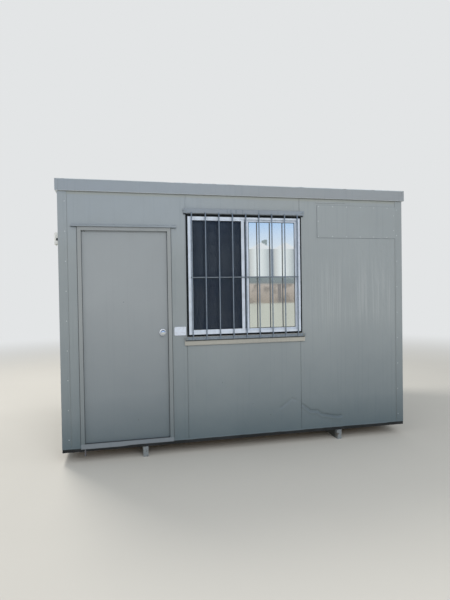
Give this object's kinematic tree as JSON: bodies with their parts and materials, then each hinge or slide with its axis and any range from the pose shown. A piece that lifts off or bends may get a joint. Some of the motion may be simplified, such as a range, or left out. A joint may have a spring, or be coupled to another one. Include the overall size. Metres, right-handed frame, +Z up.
{
  "type": "portable site cabin",
  "caption": "Portable insulated-panel site cabin on two timber bearers, with an inward-opening door, a guarded sliding window and a capped flat roof.",
  "frame": {"origin": "middle of the plan, on the ground under the two bearers", "axes": "+X to the right as seen from the front, +Y from the front wall to the back wall, +Z up"},
  "size_m": [3.665, 2.4591, 2.687],
  "materials": {
    "base_steel": "black painted steel, weathered",
    "bearer_timber": "sawn softwood with worn pale paint",
    "chrome": "polished chrome plate",
    "floor_ply": "plywood sheet floor",
    "gasket_foam": "black closed-cell foam",
    "glass": "clear float glass",
    "guard_steel": "galvanised and part painted steel",
    "insect_mesh": "woven insect mesh in a white frame",
    "trim_paint": "painted folded steel, satin",
    "wall_paint": "baked paint on thin steel skins, satin, warm light grey",
    "white_plastic": "moulded white plastic",
    "window_aluminium": "white powder-coated aluminium",
    "zinc_steel": "zinc-plated steel"
  },
  "bodies": {
    "cabin": {"back_panel_left": "wall_paint", "back_panel_middle": "wall_paint", "back_panel_right": "wall_paint", "base_rail_back": "base_steel", "base_rail_front": "base_steel", "bearer_left": "bearer_timber", "bearer_right": "bearer_timber", "blanking_plate": "trim_paint", "corner_flashings": "trim_paint", "door_frame": "trim_paint", "door_head_flashing": "trim_paint", "door_sill": "trim_paint", "fascia_back": "trim_paint", "fascia_front": "trim_paint", "fascia_left": "trim_paint", "fascia_right": "trim_paint", "floor_deck": "floor_ply", "floor_joists": "base_steel", "flyscreen": "insect_mesh", "front_panel_left_of_door": "wall_paint", "front_panel_over_door": "wall_paint", "front_panel_over_window": "wall_paint", "front_panel_right": "wall_paint", "front_panel_right_of_door": "wall_paint", "front_panel_under_window": "wall_paint", "hinge_frame_halves": "zinc_steel", "left_end_panel_back": "wall_paint", "left_end_panel_front": "wall_paint", "power_inlet_box": "white_plastic", "power_outlet": "white_plastic", "right_end_panel_back": "wall_paint", "right_end_panel_front": "wall_paint", "roof_joint_caps": "trim_paint", "roof_panel_left": "wall_paint", "roof_panel_middle": "wall_paint", "roof_panel_right": "wall_paint", "side_base_rails": "base_steel", "window_frame": "window_aluminium", "window_gasket": "gasket_foam", "window_glass": "glass", "window_guard": "guard_steel", "window_sashes": "window_aluminium", "window_sill_flashing": "trim_paint"},
    "door": {"door_leaf": "wall_paint", "hinge_door_halves": "zinc_steel", "door_lock": "chrome"},
    "knob": {"door_knob": "chrome"}
  },
  "joints": [
    {"name": "door_swing", "type": "hinge", "parent": "cabin", "child": "door", "pos_m": [-1.6025, -1.141, 0], "axis": [0, 0, 1], "range_deg": [0, 95]},
    {"name": "knob_turn", "type": "hinge", "parent": "door", "child": "knob", "pos_m": [-0.84, -1.1645, 1.208], "axis": [0, 1, 0], "range_deg": [-50, 50], "stiffness_Nm_per_rad": 0.5}
  ]
}
